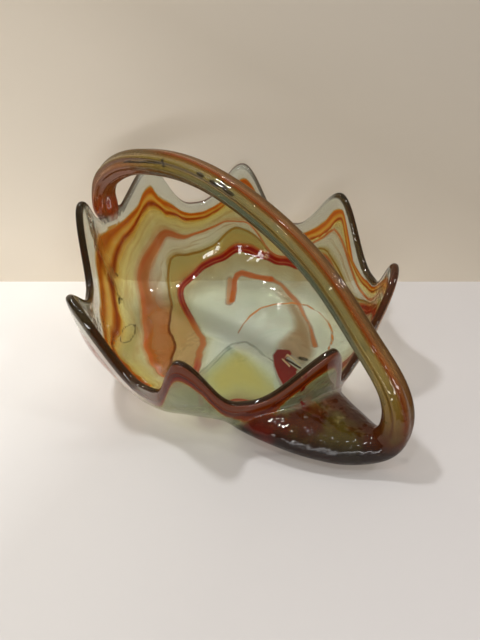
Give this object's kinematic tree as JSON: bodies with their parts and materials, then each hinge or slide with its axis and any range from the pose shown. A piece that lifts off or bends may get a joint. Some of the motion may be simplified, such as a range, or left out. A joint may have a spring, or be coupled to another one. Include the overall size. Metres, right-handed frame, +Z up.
{
  "type": "glass basket",
  "caption": "Blown glass basket: a low bowl with a ruffled lip, whose foot is drawn out into a tail that loops over it as a ribbed handle.",
  "frame": {"origin": "in the flat underside, below the middle of the lip", "axes": "+Z up; +X below the handle, from its end on the lip towards the tail; +Y to the left of +X seen from above"},
  "size_m": [0.3596, 0.2786, 0.1916],
  "materials": {
    "streaked_glass": "fire-polished clear glass, lightly grey-green, with amber, orange, red-brown and olive streaks that follow the lip, and olive and rust stripes along the handle"
  },
  "bodies": {
    "root": {"basket": "streaked_glass"}
  },
  "joints": []
}
